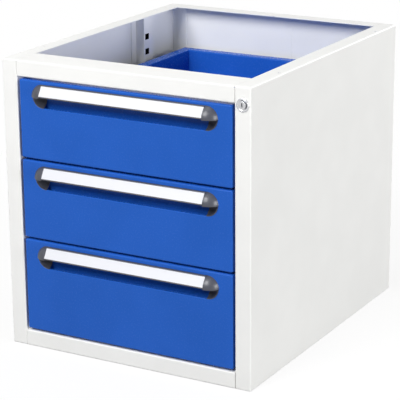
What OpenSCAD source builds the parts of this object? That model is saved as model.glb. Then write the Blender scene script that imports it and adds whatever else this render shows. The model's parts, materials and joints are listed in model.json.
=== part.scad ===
// Under-bench drawer unit: an open-topped folded-steel housing with three drawers on
// full-extension ball-bearing runners, recessed grip handles and one central lock.
// X runs to the right along the front, Y runs into the depth, Z is up.
// The origin is the middle of the housing's footprint, on its underside.

/* [Housing] */
// Overall width of the housing
housing_w = 500; // [460:10:700]
// Overall depth of the housing, without the handles
housing_d = 600; // [570:10:800]
// Thickness of the housing's steel sheet
sheet_t = 1.5; // [1:0.1:1.8]
// Outside radius of the folds in the housing's sheet
bend_r = 2.5; // [2:0.5:4]
// Width of the corner posts and of the side flanges on top
post_w = 31; // [30:1:40]
// Depth of the inward fold behind the front posts
post_return = 20; // [19:1:26]
// Height of the rail above the top drawer
top_rail_h = 30; // [24:1:50]
// Height of the rail below the bottom drawer
bottom_rail_h = 30; // [24:1:60]
// Depth of the inward fold of the top and bottom rails
rail_return = 18; // [10:1:19]
// Depth of the top flange at the front
front_flange_d = 61; // [45:1:90]
// Depth of the top flange at the back
rear_flange_d = 32; // [20:1:60]
// Width of the lip at each side of the back panel, which laps the side panel
rear_lip_w = 16; // [8:1:20]
// Open seam between two butted sheets
seam = 0.3; // [0.1:0.1:0.6]

/* [Worktop holes] */
// Diameter of the holes in the top flanges
worktop_hole_d = 6.5; // [4:0.5:9]
// Distance of the holes from the side of the housing
worktop_hole_edge = 9; // [8:1:14]
// Distance of the front holes from the front
worktop_hole_setback = 120; // [80:5:180]
// Distance from a front hole to the back hole behind it
worktop_hole_pitch = 400; // [300:10:420]

/* [Uprights] */
// Width of an upright's inner face
upright_w = 33; // [24:1:40]
// Width of the foot on each side of an upright
upright_foot = 17; // [8:1:20]
// How far an upright stays behind the edge of the drawer opening
upright_clear = 9; // [6:0.5:14]
// Distance of the front uprights from the front
upright_setback = 55; // [50:1:80]
// Distance from the back end of a runner to the back upright
upright_from_end = 84; // [60:0.5:140]
// Pitch of the slots
slot_pitch = 30; // [20:1:40]
// Height of a slot
slot_h = 12; // [10:1:14]
// Length of a slot
slot_l = 15; // [13:1:18]
// Distance of the slots from the upright's folded corner
slot_setback = 4; // [3:0.5:5]

/* [Drawers] */
// Height of the top drawer's place in the front
front_1_h = 150; // [140:10:250]
// Height of the middle drawer's place in the front
front_2_h = 150; // [140:10:250]
// Height of the bottom drawer's place in the front
front_3_h = 180; // [140:10:250]
// Gap between two fronts, one above the other
front_gap = 3.5; // [2:0.5:6]
// Gap from the fronts to the rails above and below them
rail_gap = 4; // [2:0.5:5]
// Gap at each side of a front
side_gap = 4; // [1.5:0.5:4.5]
// Depth of a front
front_d = 18; // [17.5:0.5:19.5]
// Thickness of a front's sheet
front_t = 1.2; // [0.8:0.1:1.4]
// Radius of a front's edges
front_edge_r = 3; // [2:0.5:6]
// Width of the fold behind a front, at the sides
front_fold_side = 30; // [28:1:40]
// Width of the fold behind a front, at top and bottom
front_fold_end = 10; // [6:1:14]
// Thickness of a tray's sheet
tray_t = 1.2; // [0.8:0.1:1.4]
// Height of a tray's floor above the bottom of its place
tray_up = 12; // [8:1:16]
// Distance of a tray's rim below the top of its place
rim_drop = 59; // [56:1:66]
// Width of the rim at the sides of a tray
rim_w = 19.5; // [10:0.5:20]
// Width of the rim at the back of a tray
back_rim_w = 18; // [6:1:24]
// Gap between a tray's rim and the back panel
rear_clear = 8; // [6:1:30]

/* [Handles] */
// Length of a handle
grip_l = 376; // [200:2:380]
// Height of a handle
grip_h = 45; // [40:1:48]
// Distance of a handle's middle below the top of the drawer's place
grip_drop = 32; // [30:1:40]
// How far a handle stands out of the front
hood_out = 15.5; // [12:0.5:18]
// Thickness of the hood and of the caps
hood_t = 1.8; // [1.2:0.1:2.4]
// Depth of the finger recess
recess_depth = 14.5; // [12:0.5:15.5]
// Width of the hood's edge that lies on the front, round the recess
hood_seat = 1; // [0.5:0.1:2]
// Length of an end cap
cap_l = 24; // [23:0.5:40]
// Thickness of a cap's lining in the recess
lining_t = 1.2; // [0.8:0.1:1.6]
// Thickness of the label strip
label_t = 0.8; // [0.4:0.1:1.2]

/* [Runners] */
// Length of a runner
runner_l = 500; // [420:10:500]
// Travel of a drawer
travel = 480; // [300:10:480]
// How far a runner stays inside the edge of the drawer opening
runner_clear = 4; // [3:0.5:6]
// Thickness of a runner, without its brackets
runner_t = 19; // [19:0.5:22]
// Height of a runner
runner_h = 40; // [40:0.5:41]
// Thickness of a runner's steel
rail_t = 1.5; // [1.2:0.1:1.6]
// Distance of a runner's middle below the tray's rim
runner_drop = 44; // [41:0.5:46]
// Diameter of the balls
ball_d = 3; // [2.4:0.1:3.2]
// Clearance of a ball to each raceway
ball_clear = 0.5; // [0.3:0.1:0.6]
// Distance from one ball to the next
ball_pitch = 28; // [14:2:50]

/* [Lock] */
// Diameter of the lock's rose
rose_d = 24; // [18:1:26]
// Thickness of the lock's rose
rose_t = 2.2; // [1:0.1:3]
// Diameter of the lock's barrel
barrel_d = 16; // [15:0.5:18]
// Diameter of the turning plug
plug_d = 11; // [9:0.5:12]
// Running clearance of the plug in its barrel
plug_clear = 0.05; // [0.02:0.01:0.1]
// How far the plug's face stands out of the rose
plug_out = 2; // [1:0.5:4]
// Distance of the lock below the top of the housing
lock_drop = 31; // [28:1:36]
// Throw of the cam pin from the lock's axis
cam_r = 9; // [8.6:0.1:9.2]
// Diameter of the cam pin
cam_pin_d = 3.6; // [3:0.1:4]
// Width of the locking bar
bar_w = 10.8; // [10.4:0.1:11.2]
// Thickness of the locking bar
bar_t = 2; // [1.5:0.1:2.5]
// Clearance round the locking bar in its guides
bar_clear = 0.5; // [0.3:0.1:0.8]
// Height of a hook on the locking bar
hook_h = 3.5; // [2.5:0.5:3.5]
// How far a hook reaches in from the bar
hook_reach = 14.8; // [12:0.1:15.5]
// Height of a guide of the locking bar
guide_h = 12; // [8:1:16]

/* [Hidden] */
$fn = 48;

// A cut's overrun past the face that it opens
over = 1;
LEFT = -1;
RIGHT = 1;

// Housing
half_w = housing_w / 2;
y_front = -housing_d / 2;
y_back = housing_d / 2;
housing_h = bottom_rail_h + front_3_h + front_2_h + front_1_h + top_rail_h;
opening_x = half_w - post_w;
relief_r = 1.6;
corner_weld_r = 5;
notch_r = 3;
groove_x = 26.6;
groove_w = 1.6;
groove_depth = 0.7;
groove_below_top = 27;
groove_top = housing_h - groove_below_top;
wall_x = half_w - sheet_t;

// Places of the drawers, from the top one down
place_top = [
    housing_h - top_rail_h,
    housing_h - top_rail_h - front_1_h,
    housing_h - top_rail_h - front_1_h - front_2_h
];
place_bottom = [place_top[1], place_top[2], bottom_rail_h];
function rim_z(i) = place_top[i] - rim_drop;
function runner_z(i) = rim_z(i) - runner_drop;
function grip_z(i) = place_top[i] - grip_drop;

// Locking bar: it runs up behind the fold of the right post
bar_behind_fold = 5.2;
bar_beside_opening = 1.8;
bar_y = y_front + post_return + bar_behind_fold;
bar_x = opening_x + bar_beside_opening;
lock_x = opening_x + post_w / 2;
lock_z = housing_h - lock_drop;
cam_gap = 0.8;
cam_t = 2;
cam_y = bar_y - cam_gap - cam_t;
cam_pin_play = 0.6;
barrel_before_cam = 0.4;
barrel_end = cam_y - barrel_before_cam;
cam_rim = 1.5;
cam_screw_r = 2.4;
cam_screw_h = 1.6;
pin_past_bar = 1;
lock_half_turn = 45;
bar_lift = 2 * cam_r * sin(lock_half_turn);
pin_x = lock_x - cam_r * cos(lock_half_turn);
pin_z = lock_z - cam_r * sin(lock_half_turn);
bar_over_pin = 7;
bar_under_rim = 32;
bar_top = pin_z + bar_over_pin;
bar_bottom = rim_z(2) - bar_under_rim;
hook_below_rim = 20;
catch_over_hook = 2;
catch_behind_bar = 1.2;
catch_x = runner_t;
catch_t = 2;
catch_foot = 12;
catch_y = bar_y + bar_t + catch_behind_bar;
plug_head = 3;
plug_head_gap = 0.3;
keyway_w = 2;
keyway_h = 7.5;
keyway_depth = 9;
barrel_hole_play = 0.2;
guide_above_rim = 20;
guide_wall = 1.4;
nut_af = 20;
nut_t = 4;

// Uprights and runners
upright_x = opening_x + upright_clear;
slot_from_end = 2 * slot_h;
runner_behind_bar = 6.8;
runner_y = bar_y + bar_t + runner_behind_bar;
upright_front_y = y_front + upright_setback;
upright_rear_y = runner_y + runner_l - upright_from_end;
rail_x = opening_x - runner_clear;
tray_x = rail_x - runner_t;
race = ball_d + 2 * ball_clear;
// Half heights of the three rails of a runner, outside
cabinet_rail_z = runner_h / 2;
middle_rail_z = cabinet_rail_z - rail_t - race;
drawer_rail_z = middle_rail_z - rail_t - race;
// Places of the rails' flanges, from the runner's back towards the tray
cabinet_flange = 13.5;
middle_from = 3;
middle_to = runner_t - middle_from;
middle_web = 8.5;
drawer_from = 11.5;
outer_ball = 6;
inner_ball = 13.4;
cage_t = 0.8;
cage_w = 4.2;
cage_short = 30;
ball_facets = 24;
cage_l = runner_l - travel / 2 - cage_short;

// Brackets on the cabinet rails: a hook goes through the slot and down behind it
bracket_from = rail_x - upright_x;
bracket_h = 2 * slot_h;
bracket_l = slot_l + 5;
hook_play = 0.3;
hook_drop = 3;
hook_t = 1.5;
tab_h = slot_h - hook_drop - 1;
tab_l = slot_l - 5;

// Drawers
front_x = opening_x - side_gap;
tray_y = y_front + front_d;
tray_end = y_back - sheet_t - rear_clear;
screw_r = 2;
screw_head_r = 3.8;
screw_head_t = 2.2;
screw_in = 5;
screw_l = 6;
screw_from_edge = 12;
screw_play = 0.2;

// Handles: a circle through the recess's edge and its deepest point, and one through
// the hood's edge and its highest point
cap_x = grip_l / 2 - cap_l;
end_x = grip_l / 2 - grip_h / 2;
recess_hh = grip_h / 2 - hood_seat;
recess_r = (recess_hh * recess_hh + recess_depth * recess_depth) / (2 * recess_depth);
recess_cy = y_front - (recess_r - recess_depth);
hood_hh = grip_h / 2;
dome_r = (hood_hh * hood_hh + hood_out * hood_out) / (2 * hood_out);
dome_cy = y_front + (dome_r - hood_out);
lining_gap = 0.2;
// Half height of the recess at a depth behind the front's face
function recess_half(depth) = sqrt(pow(recess_r, 2) - pow(recess_r - recess_depth + depth, 2));

// The hood's slope, as (distance out of the front, height above the grip's middle)
label_low = 4;
label_below_top = 1.8;
slope_low = [-(hood_out - 0.5), label_low];
slope_high = [-hood_out / 3, hood_hh - label_below_top];
slope = (slope_high - slope_low) / norm(slope_high - slope_low);
slope_out = [-slope[1], slope[0]];
shoulder_r = hood_t + 0.4;
shoulder_z = hood_hh - shoulder_r;
shoulder_y = slope_high[0] - (shoulder_r + slope_out[1] * (shoulder_z - slope_high[1])) / slope_out[0];
nose_below = 1.2;
nose_middle = slope_low - nose_below * slope - hood_t / 2 * slope_out;
hood_leg = 3;
leg_gap = 0.4;

housing_colour = "#f4f4f2";
blue_colour = "#2b63c8";
plastic_colour = "#5f6068";
label_colour = "#fcfafc";
steel_colour = "#b8bcc0";
brass_colour = "#b9a36a";

// ---- helpers ----

module on_side(side) {
    if (side == LEFT) mirror([1, 0, 0]) children();
    else children();
}

// A block from one corner to the opposite one
module block(a, b) {
    translate(a) cube(b - a);
}

module rounded_rect(w, h, r) {
    square([w - 2 * r, h], center = true);
    square([w, h - 2 * r], center = true);
    for (sx = [-1, 1], sy = [-1, 1]) translate([sx * (w / 2 - r), sy * (h / 2 - r)]) circle(r);
}

// What a rounded corner takes off a square one at the origin, in the first quadrant
module corner_cut(r) {
    difference() {
        translate([-over, -over]) square(r + over);
        translate([r, r]) circle(r);
    }
}

// Points of an arc round middle, from one angle to another
function arc(middle, r, from, to, steps = 6) =
    [for (k = [0 : steps]) middle + r * [cos(from + (to - from) * k / steps),
                                         sin(from + (to - from) * k / steps)]];

// Draws a section given as (Y, Z) and extrudes it along X, centred
module along_x(l) {
    rotate([90, 0, 90]) linear_extrude(l, center = true) children();
}

// Draws a section given as (X, Z) and extrudes it along +Y from y
module along_y(y, l) {
    translate([0, y + l, 0]) rotate([90, 0, 0]) linear_extrude(l) children();
}

// ---- housing ----

// The housing's outside, with its folds rounded
module envelope() {
    intersection() {
        linear_extrude(housing_h) rounded_rect(housing_w, housing_d, bend_r);
        along_y(y_front, housing_d)
            translate([0, housing_h / 2]) rounded_rect(housing_w, housing_h, bend_r);
        along_x(housing_w)
            translate([0, housing_h / 2]) rounded_rect(housing_d, housing_h, bend_r);
    }
}

module relief_holes() {
    for (side = [-1, 1])
        along_y(y_front - over, sheet_t + 2 * over)
            translate([side * opening_x, housing_h - bend_r - relief_r / 2]) circle(relief_r);
}

// One sheet: wall, corner posts, and the flanges on top and below
module side_panel(side) {
    color(housing_colour) on_side(side) difference() {
        intersection() {
            envelope();
            linear_extrude(housing_h) difference() {
                translate([opening_x, y_front]) square([post_w, housing_d]);
                translate([opening_x, y_front]) corner_cut(bend_r);
            }
        }
        translate([0, 0, sheet_t]) linear_extrude(housing_h - 2 * sheet_t) {
            translate([opening_x + sheet_t, y_front + sheet_t])
                square([post_w - 2 * sheet_t, housing_d - 2 * sheet_t]);
            translate([opening_x - over, y_front + post_return])
                square([post_w - sheet_t + over, housing_d - post_return - sheet_t]);
        }
        relief_holes();
        for (k = [0, 1])
            translate([half_w - worktop_hole_edge,
                       y_front + worktop_hole_setback + k * worktop_hole_pitch,
                       housing_h - sheet_t - over])
                cylinder(d = worktop_hole_d, h = sheet_t + 2 * over);
        if (side == RIGHT)
            along_y(y_front - over, sheet_t + 2 * over)
                translate([lock_x, lock_z]) circle(d = barrel_d + barrel_hole_play);
    }
}

module back_panel() {
    lip_y = y_back - 2 * sheet_t;
    color(housing_colour) difference() {
        union() {
            intersection() {
                envelope();
                block([-opening_x + seam, y_back - sheet_t, 0], [opening_x - seam, y_back, housing_h]);
            }
            intersection() {
                envelope();
                block([-opening_x + seam, y_back - rear_flange_d, housing_h - sheet_t],
                      [opening_x - seam, y_back, housing_h]);
            }
            for (side = [LEFT, RIGHT]) on_side(side) {
                block([opening_x - 2 * sheet_t, lip_y, sheet_t],
                      [opening_x - sheet_t, y_back - sheet_t / 2, housing_h - sheet_t]);
                block([opening_x - 2 * sheet_t, lip_y, sheet_t],
                      [opening_x + rear_lip_w, lip_y + sheet_t, housing_h - sheet_t]);
            }
        }
        translate([0, y_back - rear_flange_d, housing_h - sheet_t - over])
            cylinder(r = notch_r, h = sheet_t + 2 * over);
        block([groove_x, y_back - sheet_t - over, bottom_rail_h],
              [groove_x + groove_w, y_back - sheet_t + groove_depth, groove_top]);
    }
}

// Floor of the housing, folded up into the rail below the bottom drawer
module base_panel() {
    color(housing_colour) {
        block([-opening_x, y_front + sheet_t, 0], [opening_x, y_back - sheet_t, sheet_t]);
        intersection() {
            envelope();
            along_x(2 * (opening_x - seam)) difference() {
                translate([y_front, 0]) square([rail_return, bottom_rail_h]);
                translate([y_front + sheet_t, sheet_t])
                    square([rail_return, bottom_rail_h - 2 * sheet_t]);
                translate([y_front, bottom_rail_h]) mirror([0, 1]) corner_cut(bend_r);
            }
        }
        for (side = [LEFT, RIGHT]) on_side(side)
            along_y(y_front + sheet_t / 2, sheet_t / 2)
                translate([opening_x, bottom_rail_h]) mirror([1, 0]) difference() {
                    translate([0, -over]) square([corner_weld_r, corner_weld_r + over]);
                    translate([corner_weld_r, corner_weld_r]) circle(corner_weld_r);
                }
    }
}

module top_front_rail() {
    low = housing_h - top_rail_h;
    color(housing_colour) difference() {
        union() {
            intersection() {
                envelope();
                along_x(2 * (opening_x - seam)) difference() {
                    translate([y_front, low]) square([front_flange_d, top_rail_h]);
                    translate([y_front + sheet_t, low + sheet_t])
                        square([front_flange_d, top_rail_h - 2 * sheet_t]);
                    translate([y_front + rail_return, low - over])
                        square([front_flange_d, top_rail_h - sheet_t + over]);
                    translate([y_front, low]) corner_cut(bend_r);
                }
            }
            for (side = [LEFT, RIGHT]) on_side(side)
                block([opening_x - sheet_t, y_front + sheet_t, low + sheet_t],
                      [opening_x, y_front + rail_return, housing_h - sheet_t]);
        }
        relief_holes();
    }
}

// Hat-section post, welded by its feet to the side wall. Its slots go by the pitch, and
// each runner has one at its own height.
module upright(side, y0) {
    deep = wall_x - upright_x;
    first = runner_z(2) - slot_pitch * floor((runner_z(2) - slot_from_end) / slot_pitch);
    color(housing_colour) on_side(side) difference() {
        translate([0, 0, sheet_t]) linear_extrude(housing_h - 2 * sheet_t) {
            difference() {
                translate([upright_x, y0]) square([deep, upright_w]);
                translate([upright_x + sheet_t, y0 + sheet_t])
                    square([deep, upright_w - 2 * sheet_t]);
            }
            for (foot_y = [y0 - upright_foot, y0 + upright_w - sheet_t])
                translate([wall_x - sheet_t, foot_y]) square([sheet_t, upright_foot + sheet_t]);
        }
        for (z = concat([for (z = [first : slot_pitch : housing_h - slot_from_end]) z],
                        [runner_z(0), runner_z(1)]))
            block([upright_x - over, y0 + slot_setback, z - slot_h / 2],
                  [upright_x + sheet_t + over, y0 + slot_setback + slot_l, z + slot_h / 2]);
    }
}

// ---- lock ----

module lock_ring(y, l, outer_d, inner_d) {
    along_y(y, l) translate([lock_x, lock_z]) difference() {
        circle(d = outer_d);
        circle(d = inner_d);
    }
}

module lock_barrel() {
    bore_d = plug_d + 2 * plug_clear;
    color(steel_colour) {
        lock_ring(y_front - rose_t, rose_t, rose_d, bore_d);
        lock_ring(y_front - rose_t, barrel_end - y_front + rose_t, barrel_d, bore_d);
    }
}

module lock_nut() {
    color(brass_colour) along_y(y_front + sheet_t, nut_t)
        translate([lock_x, lock_z]) difference() {
            circle(d = nut_af / cos(30), $fn = 6);
            circle(d = barrel_d);
        }
}

module lock_plug() {
    face = y_front - rose_t - plug_out;
    color(steel_colour) difference() {
        union() {
            along_y(face, cam_y - face) translate([lock_x, lock_z]) circle(d = plug_d);
            along_y(face, plug_out - plug_head_gap)
                translate([lock_x, lock_z]) circle(d = plug_d + plug_head);
        }
        along_y(face - over, keyway_depth + over)
            translate([lock_x, lock_z]) square([keyway_w, keyway_h], center = true);
    }
}

// Cam with its pin, and the screw that holds it on the plug
module lock_cam() {
    color(steel_colour) {
        along_y(cam_y, cam_t) {
            translate([lock_x, lock_z]) circle(d = plug_d);
            translate([pin_x, pin_z]) circle(d = cam_pin_d + 2 * cam_rim);
            translate([lock_x, lock_z]) rotate(lock_half_turn)
                translate([-cam_r, -2 * cam_rim]) square([cam_r, 4 * cam_rim]);
        }
        along_y(cam_y, cam_t + cam_gap + bar_t + pin_past_bar)
            translate([pin_x, pin_z]) circle(d = cam_pin_d);
        along_y(cam_y + cam_t, cam_screw_h) translate([lock_x, lock_z]) circle(r = cam_screw_r);
    }
}

module lock_bar() {
    slot_w = cam_pin_d + 2 * cam_pin_play;
    slot_from = lock_x - cam_r - slot_w / 2;
    slot_to = pin_x + slot_w / 2;
    color(steel_colour) along_y(bar_y, bar_t) difference() {
        union() {
            translate([bar_x, bar_bottom]) square([bar_w, bar_top - bar_bottom]);
            for (i = [0 : 2])
                translate([bar_x - hook_reach, rim_z(i) - hook_below_rim])
                    square([hook_reach + over, hook_h]);
        }
        translate([slot_from, pin_z - slot_w / 2]) square([slot_to - slot_from, slot_w]);
    }
}

// Loops on the side wall that the bar slides in
module lock_bar_guides() {
    color(steel_colour) for (i = [0 : 2])
        translate([0, 0, rim_z(i) + guide_above_rim]) linear_extrude(guide_h) {
            loop_x = bar_x - bar_clear - guide_wall;
            loop_y = bar_y - bar_clear - guide_wall;
            loop_d = bar_t + 2 * (bar_clear + guide_wall);
            difference() {
                translate([loop_x, loop_y]) square([wall_x - loop_x, loop_d]);
                translate([bar_x - bar_clear, bar_y - bar_clear])
                    square([bar_w + 2 * bar_clear, bar_t + 2 * bar_clear]);
                translate([bar_x + bar_w + bar_clear + guide_wall, loop_y + guide_wall])
                    square([wall_x - bar_x, loop_d - 2 * guide_wall]);
            }
        }
}

// ---- runners ----

// Turns (distance from the runner's back, height from its middle) into place
module in_runner(side, i, y, l) {
    on_side(side) translate([rail_x, 0, runner_z(i)])
        along_y(y, l) mirror([1, 0]) children();
}

module channel(from, to, half_h, web_at) {
    difference() {
        translate([from, -half_h]) square([to - from, 2 * half_h]);
        if (web_at == from)
            translate([from + rail_t, rail_t - half_h])
                square([to - from, 2 * (half_h - rail_t)]);
        else
            translate([from - rail_t, rail_t - half_h])
                square([to - from, 2 * (half_h - rail_t)]);
    }
}

// Box bracket from a cabinet rail to the upright, with its hook in the middle of a slot
module bracket(side, i, slot_y) {
    behind = bracket_from - sheet_t - hook_play - hook_t;
    in_runner(side, i, slot_y + (slot_l - bracket_l) / 2, bracket_l) difference() {
        translate([bracket_from, -bracket_h / 2]) square([rail_t - bracket_from, bracket_h]);
        translate([bracket_from + rail_t, rail_t - bracket_h / 2])
            square([-bracket_from - 2 * rail_t, bracket_h - 2 * rail_t]);
    }
    in_runner(side, i, slot_y + (slot_l - tab_l) / 2, tab_l) {
        translate([behind, -slot_h / 2]) square([bracket_from + rail_t - behind, tab_h]);
        translate([behind, -slot_h / 2 - hook_drop]) square([hook_t, hook_drop + tab_h]);
    }
}

module cabinet_rail(side, i) {
    color(steel_colour) {
        in_runner(side, i, runner_y, runner_l) channel(0, cabinet_flange, cabinet_rail_z, 0);
        for (y = [upright_front_y, upright_rear_y]) bracket(side, i, y + slot_setback);
    }
}

module middle_rails(i) {
    color(steel_colour) for (side = [LEFT, RIGHT]) in_runner(side, i, runner_y, runner_l) {
        for (s = [-1, 1])
            translate([middle_from, s * (middle_rail_z - rail_t / 2) - rail_t / 2])
                square([middle_to - middle_from, rail_t]);
        translate([middle_web, -middle_rail_z]) square([rail_t, 2 * middle_rail_z]);
    }
}

module drawer_rail(side, i) {
    color(steel_colour) in_runner(side, i, runner_y, runner_l)
        channel(drawer_from, runner_t, drawer_rail_z, runner_t);
}

// Two rows of balls on each side, each in its own strip
module ball_cages(i, ball_u, ball_v) {
    y0 = runner_y + (runner_l - cage_l) / 2;
    count = floor((cage_l - 2 * ball_d) / ball_pitch);
    color(brass_colour) for (side = [LEFT, RIGHT], s = [-1, 1]) {
        in_runner(side, i, y0, cage_l)
            translate([ball_u - cage_w / 2, s * ball_v - cage_t / 2]) square([cage_w, cage_t]);
        on_side(side) for (k = [0 : count])
            translate([rail_x - ball_u,
                       y0 + cage_l / 2 + (k - count / 2) * ball_pitch,
                       runner_z(i) + s * ball_v])
                sphere(d = ball_d, $fn = ball_facets);
    }
}

module outer_ball_cages(i) {
    ball_cages(i, outer_ball, middle_rail_z + race / 2);
}

module inner_ball_cages(i) {
    ball_cages(i, inner_ball, drawer_rail_z + race / 2);
}

// ---- drawers ----

// A long round-ended body: a cylinder along X that ends in two half spheres
module capsule(i, r, cy) {
    translate([0, cy, grip_z(i)]) {
        rotate([0, 90, 0]) cylinder(r = r, h = 2 * end_x, center = true);
        for (s = [-1, 1]) translate([s * end_x, 0, 0]) sphere(r);
    }
}

// Folded front with the finger recess pressed into it
module drawer_front(i) {
    low = place_bottom[i] + (i == 2 ? rail_gap : front_gap / 2);
    high = place_top[i] - (i == 0 ? rail_gap : front_gap / 2);
    mid = (low + high) / 2;
    color(blue_colour) difference() {
        union() {
            difference() {
                intersection() {
                    translate([0, y_front + front_d, low]) linear_extrude(high - low)
                        rounded_rect(2 * front_x, 2 * front_d, front_edge_r);
                    along_x(2 * front_x) translate([y_front + front_d, mid])
                        rounded_rect(2 * front_d, high - low, front_edge_r);
                    block([-front_x, y_front - over, low], [front_x, y_front + front_d, high]);
                }
                block([-front_x + front_t, y_front + front_t, low + front_t],
                      [front_x - front_t, y_front + front_d - front_t, high - front_t]);
                block([-front_x + front_fold_side, y_front + front_t, low + front_fold_end],
                      [front_x - front_fold_side, y_front + front_d + over, high - front_fold_end]);
            }
            intersection() {
                capsule(i, recess_r + front_t, recess_cy);
                block([-front_x, y_front + front_t / 2, low], [front_x, y_front + front_d, high]);
            }
        }
        capsule(i, recess_r, recess_cy);
        screw_places(i) circle(r = screw_r);
    }
}

// Open box with a rim round three sides
module tray(i) {
    floor_z = place_bottom[i] + tray_up;
    rim = rim_z(i);
    wall_y = tray_end - back_rim_w;
    color(blue_colour) {
        difference() {
            block([-tray_x, tray_y, floor_z], [tray_x, wall_y, rim]);
            block([-tray_x + tray_t, tray_y + tray_t, floor_z + tray_t],
                  [tray_x - tray_t, wall_y - tray_t, rim + over]);
            screw_places(i) circle(r = screw_r + screw_play);
        }
        for (side = [LEFT, RIGHT]) on_side(side)
            block([tray_x - tray_t, tray_y, rim - tray_t], [tray_x + rim_w, tray_end, rim]);
        block([-tray_x, wall_y - tray_t, rim - tray_t], [tray_x, tray_end, rim]);
    }
}

// Angle welded to the tray's right side: the locking bar's hook rises in front of it
module lock_catch(i) {
    low = rim_z(i) - hook_below_rim + hook_h + catch_over_hook;
    high = rim_z(i) - tray_t;
    color(steel_colour) {
        block([tray_x, catch_y, low], [tray_x + catch_x, catch_y + catch_t, high]);
        block([tray_x, catch_y, low], [tray_x + catch_t, catch_y + catch_foot, high]);
    }
}

// Heights of the screws that hold the front on the tray
function screw_heights(i) =
    [place_bottom[i] + tray_up + screw_from_edge, rim_z(i) - screw_from_edge];

// Extrudes its child through the front's fold and the tray at each of these screws
module screw_places(i) {
    for (sx = [-1, 1], z = screw_heights(i))
        along_y(tray_y - screw_l - over, screw_l + 3 * over)
            translate([sx * (tray_x - screw_in), z]) children();
}

module screws(i) {
    color(steel_colour) for (sx = [-1, 1], z = screw_heights(i))
        translate([sx * (tray_x - screw_in), tray_y, z]) rotate([90, 0, 0]) {
            translate([0, 0, -tray_t - screw_head_t]) cylinder(r = screw_head_r, h = screw_head_t);
            translate([0, 0, -tray_t - screw_head_t / 2])
                cylinder(r = screw_r, h = screw_l + tray_t + screw_head_t / 2);
        }
}

// Straight part of the grip that the fingers hook behind, with a leg in the recess
module handle_hood(i) {
    shoulder = [shoulder_y, shoulder_z];
    lean = atan2(slope_out[1], slope_out[0]);
    leg_out = recess_half(0) - leg_gap;
    leg_in = recess_half(hood_leg) - leg_gap;
    color(plastic_colour) along_x(2 * cap_x) translate([y_front, grip_z(i)])
        polygon(concat(
            [[0, hood_hh]],
            arc(shoulder, shoulder_r, 90, lean),
            arc(nose_middle, hood_t / 2, lean, lean + 180),
            arc(shoulder, shoulder_r - hood_t, lean, 90),
            [[0, leg_out - hood_t], [hood_leg, leg_in - hood_t], [hood_leg, leg_in], [0, leg_out]]
        ));
}

// Blank strip on the sloping face of the hood
module label_strip(i) {
    color(label_colour) along_x(2 * (cap_x - lining_gap)) translate([y_front, grip_z(i)])
        polygon([
            slope_high, slope_high - [label_t, 0], slope_low - [label_t, 0], slope_low
        ]);
}

// End of the grip: a dome above, and a lining round the end of the recess
module grip_cap(side, i) {
    z = grip_z(i);
    far = grip_l / 2 + over;
    color(plastic_colour) on_side(side) {
        intersection() {
            difference() {
                capsule(i, dome_r, dome_cy);
                capsule(i, dome_r - hood_t, dome_cy);
            }
            block([cap_x, y_front - hood_out - over, z], [far, y_front, z + grip_h]);
        }
        intersection() {
            difference() {
                capsule(i, recess_r - lining_gap, recess_cy);
                capsule(i, recess_r - lining_gap - lining_t, recess_cy);
            }
            block([cap_x, y_front, z - grip_h], [far, y_front + recess_depth + over, z + grip_h]);
        }
    }
}

// ---- the parts ----

side_panel(LEFT);  // left_side_panel
side_panel(RIGHT);  // right_side_panel
back_panel();
base_panel();
top_front_rail();
upright(LEFT, upright_front_y);  // front_left_upright
upright(RIGHT, upright_front_y);  // front_right_upright
upright(LEFT, upright_rear_y);  // rear_left_upright
upright(RIGHT, upright_rear_y);  // rear_right_upright
lock_barrel();
lock_nut();
lock_bar_guides();
lock_plug();
lock_cam();
lock_bar();
cabinet_rail(LEFT, 0);  // drawer_1_cabinet_rail_left
cabinet_rail(RIGHT, 0);  // drawer_1_cabinet_rail_right
cabinet_rail(LEFT, 1);  // drawer_2_cabinet_rail_left
cabinet_rail(RIGHT, 1);  // drawer_2_cabinet_rail_right
cabinet_rail(LEFT, 2);  // drawer_3_cabinet_rail_left
cabinet_rail(RIGHT, 2);  // drawer_3_cabinet_rail_right
drawer_front(0);  // drawer_1_front
tray(0);  // drawer_1_tray
handle_hood(0);  // drawer_1_handle_hood
label_strip(0);  // drawer_1_label_strip
grip_cap(LEFT, 0);  // drawer_1_cap_left
grip_cap(RIGHT, 0);  // drawer_1_cap_right
drawer_rail(LEFT, 0);  // drawer_1_rail_left
drawer_rail(RIGHT, 0);  // drawer_1_rail_right
screws(0);  // drawer_1_screws
lock_catch(0);  // drawer_1_lock_catch
middle_rails(0);  // drawer_1_middle_rails
outer_ball_cages(0);  // drawer_1_outer_ball_cages
inner_ball_cages(0);  // drawer_1_inner_ball_cages
drawer_front(1);  // drawer_2_front
tray(1);  // drawer_2_tray
handle_hood(1);  // drawer_2_handle_hood
label_strip(1);  // drawer_2_label_strip
grip_cap(LEFT, 1);  // drawer_2_cap_left
grip_cap(RIGHT, 1);  // drawer_2_cap_right
drawer_rail(LEFT, 1);  // drawer_2_rail_left
drawer_rail(RIGHT, 1);  // drawer_2_rail_right
screws(1);  // drawer_2_screws
lock_catch(1);  // drawer_2_lock_catch
middle_rails(1);  // drawer_2_middle_rails
outer_ball_cages(1);  // drawer_2_outer_ball_cages
inner_ball_cages(1);  // drawer_2_inner_ball_cages
drawer_front(2);  // drawer_3_front
tray(2);  // drawer_3_tray
handle_hood(2);  // drawer_3_handle_hood
label_strip(2);  // drawer_3_label_strip
grip_cap(LEFT, 2);  // drawer_3_cap_left
grip_cap(RIGHT, 2);  // drawer_3_cap_right
drawer_rail(LEFT, 2);  // drawer_3_rail_left
drawer_rail(RIGHT, 2);  // drawer_3_rail_right
screws(2);  // drawer_3_screws
lock_catch(2);  // drawer_3_lock_catch
middle_rails(2);  // drawer_3_middle_rails
outer_ball_cages(2);  // drawer_3_outer_ball_cages
inner_ball_cages(2);  // drawer_3_inner_ball_cages
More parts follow.
